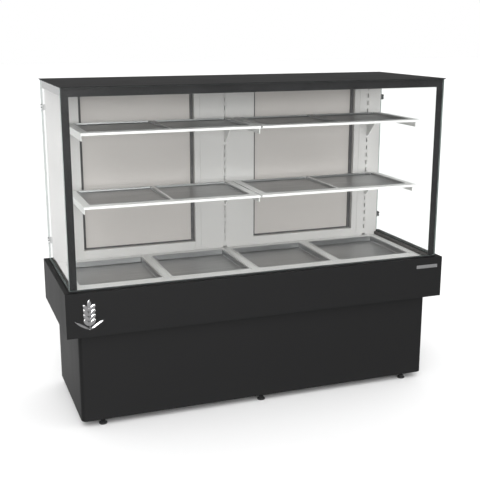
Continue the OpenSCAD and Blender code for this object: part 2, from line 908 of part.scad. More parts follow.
// A clip over the rear edge of a side glass, with two round lobes outside
module clamp() {
    y0 = column_back_y - clamp_reach;
    lobe_r = clamp_h / 4;
    x0 = end_x1 + seam;
    x1 = glass_x + lobe_t;
    y1 = column_back_y + clamp_t;
    union() {
        block(x0, glass_in_x, y0, y1, 0, clamp_h);
        block(x0, x1, column_back_y, y1, 0, clamp_h);
        block(glass_x, x1, y0 + lobe_r, column_back_y + tiny, 0, clamp_h);
        for (z = [lobe_r, clamp_h - lobe_r]) {
            translate([glass_x, y0 + lobe_r, z]) rotate([0, 90, 0])
                cylinder(r = lobe_r, h = lobe_t);
        }
    }
}

// Shanks through the plinth's back panel
module back_screw_shanks(r) {
    for (x = back_screw_xs, z = back_screw_zs) {
        translate([x, base_y1 - sheet - base_shank, z]) rotate([-90, 0, 0])
            cylinder(r = r, h = sheet + base_shank + tiny);
    }
}

// Shanks through the collar's back wall
module collar_back_shanks(r) {
    for (x = back_screw_xs) {
        translate([x, back_y - sheet - collar_shank, collar_screw_z]) rotate([-90, 0, 0])
            cylinder(r = r, h = sheet + collar_shank + tiny);
    }
}

module panel_screws() {
    color(steel) union() {
        back_screw_shanks(screw_r);
        collar_back_shanks(screw_r);
        for (x = back_screw_xs) {
            for (z = back_screw_zs) {
                translate([x, base_y1, z]) rotate([-90, 0, 0])
                    cylinder(r = screw_head_r, h = screw_head_h);
            }
            translate([x, back_y, collar_screw_z]) rotate([-90, 0, 0])
                cylinder(r = screw_head_r, h = screw_head_h);
        }
        for (side = [-1, 1]) {
            on_side(side) union() {
                translate([half_w - sheet - collar_shank, collar_screw_y, collar_screw_z])
                    rotate([0, 90, 0]) cylinder(r = screw_r, h = sheet + collar_shank - tiny);
                translate([half_w - plug_t, collar_screw_y, collar_screw_z])
                    rotate([0, 90, 0]) cylinder(r = screw_head_r, h = plug_t);
            }
        }
    }
}

// A pointed oval of the given length and width, standing on its lower point
module grain(l, w) {
    r = (l * l + w * w) / (4 * w);
    intersection() {
        translate([r - w / 2, l / 2]) circle(r = r);
        translate([w / 2 - r, l / 2]) circle(r = r);
    }
}

// The outline of a corn ear: paired grains on a stem between two long leaves
module ear() {
    l = emblem_h * 0.3;
    w = l * 0.45;
    leaf = emblem_h * 0.55;
    stem_w = 3;
    translate([-stem_w / 2, 0]) square([stem_w, emblem_h * 0.8]);
    for (side = [-1, 1]) {
        for (i = [0 : 3]) {
            translate([side, emblem_h * (0.14 + 0.16 * i)]) rotate(-side * grain_lean) grain(l, w);
        }
        translate([0, stem_w / 2]) rotate(-side * leaf_lean) grain(leaf, leaf * 0.15);
    }
    translate([0, emblem_h - l]) grain(l, w);
}

// The ear emblem and the blank plate on the collar's front
module front_badges() {
    x = -half_w + emblem_inset;
    z = collar_z + (collar_h - emblem_h) / 2;
    plate_z = top_z - plate_drop;
    color(steel) union() {
        translate([x, front_y, z]) rotate([90, 0, 0]) linear_extrude(badge_t) ear();
        block(half_w - plate_inset - plate_w, half_w - plate_inset, front_y - badge_t, front_y,
            plate_z - plate_h / 2, plate_z + plate_h / 2);
    }
}

// ---- Feet ----

// A foot at column i and row j of the feet
module foot(i, j) {
    edge_h = 3;
    edge_w = 4;
    stud_over = 6;
    color(rubber) translate([foot_xs[i], foot_ys[j], 0]) union() {
        cylinder(r = foot_pad_r, h = foot_pad_h - edge_h);
        translate([0, 0, foot_pad_h - edge_h])
            cylinder(r1 = foot_pad_r, r2 = foot_pad_r - edge_w, h = edge_h);
        translate([0, 0, foot_pad_h]) cylinder(r = foot_nut_r, h = foot_nut_h, $fn = 6);
        cylinder(r = foot_stud_r, h = foot_h + frame_tube_h + stud_over);
    }
}

base_frame();
base_front_panel();
base_side_panel(-1);  // base_left_panel
base_side_panel(1);  // base_right_panel
base_back_panel();
collar_bottom();
collar_front();
collar_side(-1);  // collar_left
collar_side(1);  // collar_right
collar_back();
deck_panel();
glass_gasket();
front_glass();
side_glass(-1);  // left_glass
side_glass(1);  // right_glass
glass_border();
roof_panel();
roof_frame();
column_end(-1);  // column_left
column_centre();
column_end(1);  // column_right
slotted_standards();
bracket_at(0, -1);  // lower_bracket_left
bracket_at(0, 0);  // lower_bracket_centre
bracket_at(0, 1);  // lower_bracket_right
bracket_at(1, -1);  // upper_bracket_left
bracket_at(1, 0);  // upper_bracket_centre
bracket_at(1, 1);  // upper_bracket_right
shelf(0, -1);  // lower_shelf_left
shelf(0, 1);  // lower_shelf_right
shelf(1, -1);  // upper_shelf_left
shelf(1, 1);  // upper_shelf_right
deck_tray(0);  // deck_tray_1
deck_tray(1);  // deck_tray_2
deck_tray(2);  // deck_tray_3
deck_tray(3);  // deck_tray_4
shelf_tray(0, 0);  // lower_tray_1
shelf_tray(0, 1);  // lower_tray_2
shelf_tray(0, 2);  // lower_tray_3
shelf_tray(0, 3);  // lower_tray_4
shelf_tray(1, 0);  // upper_tray_1
shelf_tray(1, 1);  // upper_tray_2
shelf_tray(1, 2);  // upper_tray_3
shelf_tray(1, 3);  // upper_tray_4
door(-1);  // door_left
door(1);  // door_right
door_seal(-1);  // door_seal_left
door_seal(1);  // door_seal_right
door_handle(-1);  // door_handle_left
door_handle(1);  // door_handle_right
door_pivots();
glass_clamps();
panel_screws();
front_badges();
foot(0, 0);  // foot_front_left
foot(1, 0);  // foot_front_centre
foot(2, 0);  // foot_front_right
foot(0, 1);  // foot_back_left
foot(1, 1);  // foot_back_centre
foot(2, 1);  // foot_back_right
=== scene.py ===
"""The looks of a bakery display case: coated sheet steel, brushed trays, glass, seals and fittings."""
import json
import math

import bmesh
import bpy
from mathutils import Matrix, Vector


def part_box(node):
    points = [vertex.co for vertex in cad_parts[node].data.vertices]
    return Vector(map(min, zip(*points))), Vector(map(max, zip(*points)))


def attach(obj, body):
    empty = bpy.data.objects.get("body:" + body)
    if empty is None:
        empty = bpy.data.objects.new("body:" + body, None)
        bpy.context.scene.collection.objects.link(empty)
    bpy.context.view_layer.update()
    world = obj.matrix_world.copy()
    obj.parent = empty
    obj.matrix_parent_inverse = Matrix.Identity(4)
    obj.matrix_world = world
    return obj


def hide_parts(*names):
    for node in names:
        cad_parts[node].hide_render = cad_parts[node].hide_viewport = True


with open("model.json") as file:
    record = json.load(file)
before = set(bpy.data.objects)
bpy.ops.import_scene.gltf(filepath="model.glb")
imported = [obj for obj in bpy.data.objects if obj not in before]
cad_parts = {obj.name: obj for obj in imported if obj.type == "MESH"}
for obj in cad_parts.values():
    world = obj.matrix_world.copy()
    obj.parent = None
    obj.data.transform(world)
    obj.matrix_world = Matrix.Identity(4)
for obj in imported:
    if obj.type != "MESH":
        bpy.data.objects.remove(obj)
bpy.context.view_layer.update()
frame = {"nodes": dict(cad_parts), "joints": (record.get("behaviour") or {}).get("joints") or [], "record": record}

MM = 0.001
CASE = "case"

# Two places are the same within SAME, and points closer than MERGE become one
SAME = 0.01 * MM
MERGE = 0.005 * MM

# Gauges and clearances of the sheet work
TRAY_SHEET = 1.0 * MM
TRAY_LAP = 4.0 * MM
TRAY_GAP = 1.5 * MM
TRAY_RISE = 1.3 * MM
COAT_SHEET = 1.5 * MM
LEDGE_DEPTH = 12 * MM
DECK_SHEET = 2.0 * MM

# Places and sizes of the small fittings
CLAMP_H = 22 * MM
EAR_H = 110 * MM
EAR_INSET = 82 * MM
GRAIN_LEAN = math.radians(38)
LEAF_LEAN = math.radians(58)
PLATE_W = 94 * MM
PLATE_H = 14 * MM
PLATE_DROP = 34 * MM
SCREW_INSET = 24 * MM
SCREW_UP = 101 * MM
PLUG_BACK = 109 * MM
HEAD_R = 5 * MM
HEAD_H = 1.2 * MM

# The camera: lens and film in millimetres, its place in metres, its turns in radians
LENS = 65.46
FILM_WIDTH = 36
EYE = (-1.1707, -3.16995, 1.4209)
LOOK_DOWN = 0.241
LOOK_RIGHT = 0.3517

# Half the width of the studio's floor, in metres
FLOOR_REACH = 30


# ---- Camera and light ----

def set_camera():
    """A long lens at eye height, to the left of the case."""
    lens = bpy.data.cameras.new("view")
    lens.lens = LENS
    lens.sensor_width = FILM_WIDTH
    camera = bpy.data.objects.new("view", lens)
    camera.location = EYE
    camera.rotation_euler = (math.pi / 2 - LOOK_DOWN, 0, -LOOK_RIGHT)
    bpy.context.scene.collection.objects.link(camera)
    bpy.context.scene.camera = camera


def set_world(seen, horizon, zenith, gloss_front, gloss_back):
    """A white studio: one brightness as seen, a dome brighter overhead as light, and for
    mirroring a dim side in front, as black flags make, and a bright one behind."""
    world = bpy.data.worlds.new("studio")
    world.use_nodes = True
    tree = world.node_tree
    tree.nodes.clear()
    way = add(tree, "SeparateXYZ", Vector=add(tree, "TexCoord").outputs["Generated"])
    path = add(tree, "LightPath")
    light = ranged(tree, way.outputs["Z"], horizon, zenith, start=0, stop=1)
    gloss = ranged(tree, way.outputs["Y"], gloss_front, gloss_back, start=-0.3, stop=0.5)
    white = (1, 1, 1, 1)
    lighting = add(tree, "Background", Color=white, Strength=light)
    mirrored = add(tree, "Background", Color=white, Strength=gloss)
    backdrop = add(tree, "Background", Color=white, Strength=seen)
    lit = mixed(tree, path.outputs["Is Glossy Ray"], lighting, mirrored)
    shown = mixed(tree, path.outputs["Is Camera Ray"], lit, backdrop)
    add(tree, "OutputWorld", Surface=shown.outputs[0])
    bpy.context.scene.world = world


def mixed(tree, share, first, second):
    """Two shaders mixed by a share of the second."""
    mix = add(tree, "MixShader", Fac=share)
    tree.links.new(first.outputs[0], mix.inputs[1])
    tree.links.new(second.outputs[0], mix.inputs[2])
    return mix


def add_sun(name, towards, strength, spread):
    """A soft far lamp that shines towards a direction, its spread in degrees."""
    lamp = bpy.data.lights.new(name, "SUN")
    lamp.energy = strength
    lamp.angle = math.radians(spread)
    sun = bpy.data.objects.new(name, lamp)
    sun.rotation_euler = Vector(towards).to_track_quat("-Z", "Y").to_euler()
    bpy.context.scene.collection.objects.link(sun)


# ---- Finishes ----

def add(tree, kind, **inputs):
    """A shader node whose inputs are set or linked by name, with _ for a space."""
    node = tree.nodes.new("ShaderNode" + kind)
    for name, value in inputs.items():
        socket = node.inputs[name.replace("_", " ")]
        if isinstance(value, bpy.types.NodeSocket):
            tree.links.new(value, socket)
        else:
            socket.default_value = value
    return node


def new_finish(name):
    """An empty finish with its tree, its main shader and the place on the piece."""
    finish = bpy.data.materials.new(name)
    finish.use_nodes = True
    tree = finish.node_tree
    shader = tree.nodes["Principled BSDF"]
    where = add(tree, "TexCoord").outputs["Object"]
    return finish, tree, shader, where


def noise(tree, where, scale, detail=2.0, stretch=(1, 1, 1)):
    """Noise of a given fineness, drawn out along an axis by a small stretch there."""
    place = add(tree, "Mapping", Vector=where, Scale=stretch)
    return add(tree, "TexNoise", Vector=place.outputs[0], Scale=scale, Detail=detail).outputs["Fac"]


def ranged(tree, value, low, high, start=0.3, stop=0.7):
    """A value that runs from low to high while the given one runs from start to stop."""
    spread = add(tree, "MapRange", Value=value)
    spread.inputs["From Min"].default_value = start
    spread.inputs["From Max"].default_value = stop
    spread.inputs["To Min"].default_value = low
    spread.inputs["To Max"].default_value = high
    return spread.outputs["Result"]


def tinted(tree, colour, shade, factor):
    """A colour that drifts to a shade of itself."""
    mix = tree.nodes.new("ShaderNodeMix")
    mix.data_type = "RGBA"
    tree.links.new(factor, mix.inputs["Factor"])
    mix.inputs["A"].default_value = (*colour, 1)
    mix.inputs["B"].default_value = (*[channel * shade for channel in colour], 1)
    return mix.outputs["Result"]


def bumped(tree, height, distance, strength=0.5):
    """A relief of a given real depth."""
    return add(tree, "Bump", Height=height, Distance=distance, Strength=strength).outputs[0]


def powder_coat(name, colour, rough, peel, specular=0.5):
    """Powder coat on sheet: a fine peel, a slow drift of tone and faint wiping marks."""
    finish, tree, shader, where = new_finish(name)
    drift = noise(tree, where, scale=2.2, detail=3)
    wiping = noise(tree, where, scale=9, detail=4, stretch=(1, 1, 0.35))
    pores = noise(tree, where, scale=650, detail=2)
    tone = tinted(tree, colour, shade=0.9, factor=ranged(tree, drift, 0, 1))
    gloss = ranged(tree, wiping, low=rough - 0.025, high=rough + 0.03)
    tree.links.new(tone, shader.inputs["Base Color"])
    tree.links.new(gloss, shader.inputs["Roughness"])
    tree.links.new(bumped(tree, pores, peel), shader.inputs["Normal"])
    shader.inputs["Specular IOR Level"].default_value = specular
    return finish


def brushed_metal(name, colour, rough, stretch, grain=1.0):
    """Brushed metal: long fine scratches that change tone, gloss and relief together."""
    finish, tree, shader, where = new_finish(name)
    lines = noise(tree, where, scale=420 * grain, detail=5, stretch=stretch)
    broad = noise(tree, where, scale=60 * grain, detail=2, stretch=stretch)
    haze = noise(tree, where, scale=7, detail=3)
    streaks = plus(tree, times(tree, lines, share=0.6), times(tree, broad, share=0.4))
    tone = tinted(tree, colour, shade=0.78, factor=ranged(tree, streaks, 0, 1))
    scratched = ranged(tree, lines, low=rough - 0.05, high=rough + 0.07)
    hazed = ranged(tree, haze, low=-0.03, high=0.04)
    tree.links.new(tone, shader.inputs["Base Color"])
    tree.links.new(plus(tree, scratched, hazed), shader.inputs["Roughness"])
    tree.links.new(bumped(tree, lines, distance=0.03 * MM, strength=0.4), shader.inputs["Normal"])
    shader.inputs["Metallic"].default_value = 1.0
    return finish


def times(tree, value, share):
    """A value times a share, which is a number or another value."""
    scaled = add(tree, "Math")
    scaled.operation = "MULTIPLY"
    tree.links.new(value, scaled.inputs[0])
    if isinstance(share, bpy.types.NodeSocket):
        tree.links.new(share, scaled.inputs[1])
    else:
        scaled.inputs[1].default_value = share
    return scaled.outputs[0]


def plus(tree, value, other):
    """The sum of two values."""
    both = add(tree, "Math")
    both.operation = "ADD"
    tree.links.new(value, both.inputs[0])
    tree.links.new(other, both.inputs[1])
    return both.outputs[0]


def moulded(name, colour, rough, grain, depth, specular=0.4):
    """Rubber or plastic from a mould, with a fine grain and dusty patches."""
    finish, tree, shader, where = new_finish(name)
    dust = noise(tree, where, scale=35, detail=4)
    skin = noise(tree, where, scale=grain, detail=3)
    patches = ranged(tree, dust, 0, 1, start=0.45, stop=0.75)
    gloss = ranged(tree, dust, low=rough - 0.06, high=rough + 0.08)
    tree.links.new(tinted(tree, colour, shade=1.6, factor=patches), shader.inputs["Base Color"])
    tree.links.new(gloss, shader.inputs["Roughness"])
    tree.links.new(bumped(tree, skin, depth), shader.inputs["Normal"])
    shader.inputs["Specular IOR Level"].default_value = specular
    return finish


def fired_enamel():
    """Black enamel fired on the inside of the glass: glossy, with a trace of the print's dots."""
    finish, tree, shader, where = new_finish("black_enamel")
    dots = add(tree, "TexVoronoi", Vector=where, Scale=520.0).outputs["Distance"]
    film = noise(tree, where, scale=14, detail=3)
    black = (0.010, 0.010, 0.0105)
    tone = tinted(tree, black, shade=1.7, factor=ranged(tree, film, 0, 1))
    gloss = ranged(tree, dots, low=0.20, high=0.30, start=0, stop=1)
    tree.links.new(tone, shader.inputs["Base Color"])
    tree.links.new(gloss, shader.inputs["Roughness"])
    tree.links.new(bumped(tree, dots, distance=0.01 * MM, strength=0.2), shader.inputs["Normal"])
    shader.inputs["Specular IOR Level"].default_value = 0.3
    return finish


def clear_glass():
    """Clear float glass: what is behind shows unbent, under the mirroring of the near face."""
    finish, tree, shader, where = new_finish("clear_glass")
    tree.nodes.remove(shader)
    near_face = add(tree, "Math")
    near_face.operation = "SUBTRACT"
    near_face.inputs[0].default_value = 1.0
    tree.links.new(add(tree, "NewGeometry").outputs["Backfacing"], near_face.inputs[1])
    share = times(tree, add(tree, "Fresnel", IOR=1.5).outputs[0], near_face.outputs[0])
    smears = noise(tree, where, scale=11, detail=4, stretch=(1, 1, 0.5))
    gloss = ranged(tree, smears, low=0.0, high=0.05, start=0.5, stop=0.8)
    mirror = add(tree, "BsdfAnisotropic", Color=(1, 1, 1, 1), Roughness=gloss)
    through = add(tree, "BsdfTransparent", Color=(0.985, 0.991, 0.988, 1))
    glass = mixed(tree, share, through, mirror)
    tree.links.new(glass.outputs[0], tree.nodes["Material Output"].inputs["Surface"])
    return finish


def glass_edge():
    """The polished edge of the glass, green from its depth, with fine polishing lines."""
    finish, tree, shader, where = new_finish("glass_edge")
    lines = noise(tree, where, scale=300, detail=3, stretch=(1, 1, 0.04))
    depth = noise(tree, where, scale=18, detail=2)
    green = (0.30, 0.36, 0.345)
    tone = tinted(tree, green, shade=0.6, factor=ranged(tree, depth, 0, 1))
    tree.links.new(tone, shader.inputs["Base Color"])
    tree.links.new(ranged(tree, lines, low=0.10, high=0.26), shader.inputs["Roughness"])
    tree.links.new(bumped(tree, lines, distance=0.02 * MM, strength=0.3), shader.inputs["Normal"])
    return finish


def studio_floor(gloss_front, gloss_back):
    """Pale matte floor, which mirrors in the case as dim in front and bright behind."""
    finish, tree, shader, where = new_finish("studio_floor")
    cloud = noise(tree, where, scale=1.5, detail=3)
    pale = (0.93, 0.93, 0.93)
    tone = tinted(tree, pale, shade=0.985, factor=ranged(tree, cloud, 0, 1))
    tree.links.new(tone, shader.inputs["Base Color"])
    tree.links.new(ranged(tree, cloud, low=0.7, high=0.8), shader.inputs["Roughness"])
    shader.inputs["Specular IOR Level"].default_value = 0.2
    depth = add(tree, "SeparateXYZ", Vector=where).outputs["Y"]
    strength = ranged(tree, depth, gloss_front, gloss_back, start=-0.4, stop=0.4)
    glow = add(tree, "Emission", Strength=strength)
    shown = mixed(tree, add(tree, "LightPath").outputs["Is Glossy Ray"], shader, glow)
    tree.links.new(shown.outputs[0], tree.nodes["Material Output"].inputs["Surface"])
    return finish


# ---- Work at the bench ----

def select_only(piece):
    """Selects one piece and makes it the active one."""
    bpy.ops.object.select_all(action="DESELECT")
    piece.select_set(True)
    bpy.context.view_layer.objects.active = piece


def open_mesh(piece, kind="FACE"):
    """Opens a piece in edit mode, choosing faces, edges or vertices, with all of it selected."""
    select_only(piece)
    bpy.ops.object.mode_set(mode="EDIT")
    bpy.ops.mesh.select_mode(type=kind)
    bpy.ops.mesh.select_all(action="SELECT")


def close_mesh():
    """Leaves edit mode."""
    bpy.ops.object.mode_set(mode="OBJECT")


def pick(piece, kind, test):
    """Selects in edit mode the faces, edges or points whose middle and direction pass a test."""
    bpy.ops.mesh.select_mode(type=kind)
    bpy.ops.mesh.select_all(action="DESELECT")
    mesh = bmesh.from_edit_mesh(piece.data)
    if kind == "FACE":
        for face in mesh.faces:
            if test(face.calc_center_median(), face.normal):
                face.select_set(True)
    elif kind == "VERT":
        for vert in mesh.verts:
            if test(vert.co, vert.normal):
                vert.select_set(True)
    else:
        for edge in mesh.edges:
            start, stop = (vert.co for vert in edge.verts)
            if test((start + stop) / 2, (stop - start).normalized()):
                edge.select_set(True)
    mesh.select_flush_mode()
    bmesh.update_edit_mesh(piece.data)


def settle(piece):
    """Puts a piece's place, turn and size into its mesh."""
    select_only(piece)
    bpy.ops.object.transform_apply(location=True, rotation=True, scale=True)
    return piece


def named(name):
    """Names the piece that was just added."""
    piece = bpy.context.object
    piece.name = name
    piece.data.name = name
    return piece


def block(name, low, high):
    """A box between two corners."""
    low = Vector(low)
    high = Vector(high)
    bpy.ops.object.select_all(action="DESELECT")
    bpy.ops.mesh.primitive_cube_add(size=1, location=(low + high) / 2)
    piece = named(name)
    piece.scale = high - low
    return settle(piece)


def flat_sheet(name, low, high, z):
    """A flat sheet at height z over the plan between two corners."""
    bpy.ops.object.select_all(action="DESELECT")
    bpy.ops.mesh.primitive_plane_add(size=1, location=((low.x + high.x) / 2, (low.y + high.y) / 2, z))
    piece = named(name)
    piece.scale = (high.x - low.x, high.y - low.y, 1)
    return settle(piece)


def rod(name, place, radius, length, axis="Z", sides=40):
    """A plain rod centred at a place, along an axis."""
    turn = {"X": (0, math.pi / 2, 0), "Y": (math.pi / 2, 0, 0), "Z": (0, 0, 0)}[axis]
    bpy.ops.object.select_all(action="DESELECT")
    bpy.ops.mesh.primitive_cylinder_add(vertices=sides, radius=radius, depth=length,
                                        location=place, rotation=turn)
    return settle(named(name))


def turned(name, rings, place=(0, 0, 0), turn=(0, 0, 0), sides=32):
    """A turned piece: rings give each radius and height, from the foot up."""
    radius, height = rings[0]
    bpy.ops.object.select_all(action="DESELECT")
    bpy.ops.mesh.primitive_circle_add(vertices=sides, radius=radius, fill_type="NGON",
                                      location=(0, 0, height))
    piece = settle(named(name))
    open_mesh(piece)
    for next_radius, next_height in rings[1:]:
        rise = (0, 0, next_height - height)
        bpy.ops.mesh.extrude_region_move(TRANSFORM_OT_translate={"value": rise})
        grow = next_radius / radius
        bpy.ops.transform.resize(value=(grow, grow, 1), center_override=(0, 0, next_height))
        radius = next_radius
        height = next_height
    face_outwards()
    close_mesh()
    piece.location = place
    piece.rotation_euler = turn
    return settle(piece)


def face_outwards():
    """Merges doubles and turns all faces outwards, in edit mode."""
    bpy.ops.mesh.select_all(action="SELECT")
    bpy.ops.mesh.remove_doubles(threshold=MERGE)
    bpy.ops.mesh.normals_make_consistent(inside=False)


def modify(piece, kind, **settings):
    """Adds a modifier and applies it."""
    select_only(piece)
    modifier = piece.modifiers.new(kind, kind)
    for name, value in settings.items():
        setattr(modifier, name, value)
    bpy.ops.object.modifier_apply(modifier=modifier.name)


def cut(piece, tool, how="DIFFERENCE"):
    """Cuts a piece with a tool, or joins them, and clears the tool away."""
    modify(piece, "BOOLEAN", object=tool, operation=how, solver="EXACT")
    bpy.data.objects.remove(tool)


def ease(piece, radius, segments=2, angle=30):
    """Rounds all the sharp edges of a piece."""
    modify(piece, "BEVEL", width=radius, segments=segments, limit_method="ANGLE",
           angle_limit=math.radians(angle), use_clamp_overlap=True)


def polish(piece, angle=35):
    """Smooth shading that keeps flat faces flat."""
    select_only(piece)
    if piece.data.has_custom_normals:
        bpy.ops.mesh.customdata_custom_splitnormals_clear()
    bpy.ops.object.shade_smooth_by_angle(angle=math.radians(angle))
    modify(piece, "WEIGHTED_NORMAL", keep_sharp=True)


def copy_moved(piece, name, offset):
    """A copy of a piece, with its own mesh, moved by an offset."""
    select_only(piece)
    bpy.ops.object.duplicate_move(TRANSFORM_OT_translate={"value": tuple(offset)})
    return settle(named(name))


def copy_mirrored(piece, name):
    """A mirror image of a piece across the case's middle, with its own mesh."""
    select_only(piece)
    bpy.ops.object.duplicate()
    copy = named(name)
    copy.scale.x = -1
    settle(copy)
    open_mesh(copy)
    face_outwards()
    close_mesh()
    polish(copy)
    return copy


def taken_from(node, name):
    """A copy of a CAD node with its loose triangles merged into whole faces."""
    piece = frame["nodes"][node].copy()
    piece.data = piece.data.copy()
    piece.name = name
    piece.data.name = name
    piece.parent = None
    for key in list(piece.keys()):
        del piece[key]
    bpy.context.scene.collection.objects.link(piece)
    select_only(piece)
    if piece.data.has_custom_normals:
        bpy.ops.mesh.customdata_custom_splitnormals_clear()
    open_mesh(piece, "VERT")
    bpy.ops.mesh.remove_doubles(threshold=MERGE)
    bpy.ops.mesh.dissolve_limited(angle_limit=math.radians(0.5))
    close_mesh()
    return piece


def place(piece, body, slot, *nodes):
    """Gives a piece its finish and puts it on its body, in place of CAD nodes."""
    piece.data.materials.clear()
    piece.data.materials.append(finishes[slot])
    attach(piece, body)
    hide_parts(*nodes)
    return piece


def body_of(node):
    """The body that a CAD node rides on."""
    bodies = frame["record"]["behaviour"]["bodies"]
    return next(body for body, nodes in bodies.items() if node in nodes)


def slot_of(node):
    """The record's slot for a CAD node."""
    parts = frame["record"]["subparts"]
    return next(part["material_slot"] for part in parts if part["node"] == node)


# ---- Folded sheet work ----

def folded_panel(node, radius, segments=2):
    """A folded sheet part whose bends and edges are rounded."""
    piece = taken_from(node, node + "_sheet")
    ease(piece, radius, segments)
    polish(piece)
    return place(piece, body_of(node), slot_of(node), node)


def make_collar_side(side):
    """A side wall of the collar, whose ledge inside the glass is a lighter, glossier grey: a painted sheen."""
    node = "collar_" + side
    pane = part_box(side + "_glass")
    inner_x = pane[1].x if side == "left" else pane[0].x
    panel = taken_from(node, node + "_sheet")
    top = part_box(node)[1].z
    open_mesh(panel)
    bpy.ops.mesh.bisect(plane_co=(inner_x, 0, 0), plane_no=(1, 0, 0))
    close_mesh()
    ease(panel, 0.7 * MM, segments=3)
    polish(panel)
    place(panel, CASE, slot_of(node), node)
    # The ledge faces take a lighter, glossier grey, which is a painted sheen.
    panel.data.materials.append(finishes["ledge_painted_sheen"])
    for face in panel.data.polygons:
        on_ledge = abs(face.center.x) < abs(inner_x) and face.center.z > top - LEDGE_DEPTH
        face.material_index = 1 if on_ledge else 0


def near(one, other):
    """True if two places are the same within a hundredth of a millimetre."""
    return abs(one - other) < SAME


def on_border(middle, opening):
    """True if the middle of an edge lies on the border of an opening (x0, x1, y0, y1)."""
    x0, x1, y0, y1 = opening
    inside_x = x0 - SAME < middle.x < x1 + SAME
    inside_y = y0 - SAME < middle.y < y1 + SAME
    on_x = near(middle.x, x0) or near(middle.x, x1)
    on_y = near(middle.y, y0) or near(middle.y, y1)
    return inside_x and inside_y and (on_x or on_y)


def grown(opening, margin):
    """An opening drawn out by a margin."""
    x0, x1, y0, y1 = opening
    return (x0 - margin, x1 + margin, y0 - margin, y1 + margin)


def holds(opening, middle):
    """True if a place lies in an opening."""
    x0, x1, y0, y1 = opening
    return x0 < middle.x < x1 and y0 < middle.y < y1


def well_under(tray):
    """The opening (x0, x1, y0, y1) that a tray hangs in."""
    low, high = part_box(tray)
    return grown((low.x, high.x, low.y, high.y), -TRAY_LAP)


def pressed_sheet(name, low, high, top, wells, gauge, lip, fold):
    """A sheet with lipped openings, a pressed line round each one, and folded outer edges."""
    sheet = flat_sheet(name, low, high, top)
    line_in = 8.0 * MM
    line_out = 11.5 * MM
    line_depth = 2.4 * MM
    bend = 1.0 * MM
    sideways = (1, 0, 0)
    backwards = (0, 1, 0)
    open_mesh(sheet)
    for margin in (0, line_in, line_out):
        for x0, x1, y0, y1 in (grown(well, margin) for well in wells):
            for at, normal in ((x0, sideways), (x1, sideways), (y0, backwards), (y1, backwards)):
                bpy.ops.mesh.select_all(action="SELECT")
                bpy.ops.mesh.bisect(plane_co=[at * part for part in normal], plane_no=normal)
    pick(sheet, "FACE", lambda mid, way: any(holds(well, mid) for well in wells))
    bpy.ops.mesh.delete(type="FACE")
    if line_out < wells_margin(wells, low, high):
        pick(sheet, "FACE", lambda mid, way: any(
            holds(grown(well, line_out), mid) and not holds(grown(well, line_in), mid)
            for well in wells))
        bpy.ops.mesh.extrude_region_move(TRANSFORM_OT_translate={"value": (0, 0, -line_depth)})
    outer = (low.x, high.x, low.y, high.y)
    drops = [(wells, lip)]
    if fold:
        drops.append(([outer], fold))
    for openings, drop in drops:
        pick(sheet, "EDGE", lambda mid, way: near(mid.z, top) and any(
            on_border(mid, opening) for opening in openings))
        bpy.ops.mesh.extrude_region_move(TRANSFORM_OT_translate={"value": (0, 0, -drop)})
    if fold:
        hem_edge(low, high, top - fold)
    bends = wells + ([outer] if fold else [])
    pick(sheet, "EDGE", lambda mid, way: near(mid.z, top) and any(
        on_border(mid, opening) for opening in bends))
    bpy.ops.mesh.bevel(offset=bend, segments=3, affect="EDGES")
    face_outwards()
    close_mesh()
    turn_up(sheet, top)
    modify(sheet, "SOLIDIFY", thickness=gauge, offset=-1)
    ease(sheet, 0.2 * MM, segments=1)
    polish(sheet)
    return sheet


def wells_margin(wells, low, high):
    """The least sheet left between a well and the edges or its neighbour, shared out."""
    sides = [min(x0 - low.x, high.x - x1, y0 - low.y, high.y - y1) for x0, x1, y0, y1 in wells]
    row = sorted(wells)
    between = [(after[0] - before[1]) / 2 for before, after in zip(row, row[1:])]
    return min(sides + between)


def hem_edge(low, high, z):
    """Turns the edge that was just drawn down inwards by a short hem, in edit mode."""
    hem = 6 * MM
    width = high.x - low.x
    depth = high.y - low.y
    centre = ((low.x + high.x) / 2, (low.y + high.y) / 2, z)
    bpy.ops.mesh.extrude_region_move(TRANSFORM_OT_translate={"value": (0, 0, 0)})
    bpy.ops.transform.resize(value=((width - 2 * hem) / width, (depth - 2 * hem) / depth, 1),
                             center_override=centre)


def turn_up(sheet, top):
    """Makes the top face of a sheet point up, and the rest with it."""
    tops = [face for face in sheet.data.polygons if near(face.center.z, top)]
    if sum(face.normal.z * face.area for face in tops) < 0:
        open_mesh(sheet)
        bpy.ops.mesh.flip_normals()
        close_mesh()


def make_deck():
    """The white deck with its tray wells, and the sills under the doorways."""
    trays = [f"deck_tray_{i}" for i in range(1, 5)]
    low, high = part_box("deck_panel")
    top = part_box(trays[0])[1].z - TRAY_RISE
    deck = pressed_sheet("deck_sheet", low, high, top, [well_under(t) for t in trays],
                         DECK_SHEET, lip=7 * MM, fold=0)
    place(deck, CASE, slot_of("deck_panel"), "deck_panel")
    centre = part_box("column_centre")
    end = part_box("column_right")
    gap = 0.3 * MM
    setback = 2 * MM
    nose = 1.5 * MM
    sill_low = Vector((centre[1].x + gap, centre[0].y + setback, top - DECK_SHEET))
    sill_high = Vector((end[0].x - gap, centre[1].y, high.z))
    sill = flat_sheet("door_sill_right", sill_low, sill_high, sill_high.z)
    open_mesh(sill)
    pick(sill, "EDGE", lambda mid, way: near(mid.y, sill_low.y))
    drop = (0, 0, sill_low.z - sill_high.z)
    bpy.ops.mesh.extrude_region_move(TRANSFORM_OT_translate={"value": drop})
    pick(sill, "EDGE", lambda mid, way: near(mid.y, sill_low.y) and near(mid.z, sill_high.z))
    bpy.ops.mesh.bevel(offset=nose, segments=4, affect="EDGES")
    face_outwards()
    close_mesh()
    turn_up(sill, sill_high.z)
    modify(sill, "SOLIDIFY", thickness=COAT_SHEET, offset=-1)
    ease(sill, 0.2 * MM, segments=1)
    polish(sill)
    for part in (sill, copy_mirrored(sill, "door_sill_left")):
        place(part, CASE, "light_grey_coat", "deck_panel")


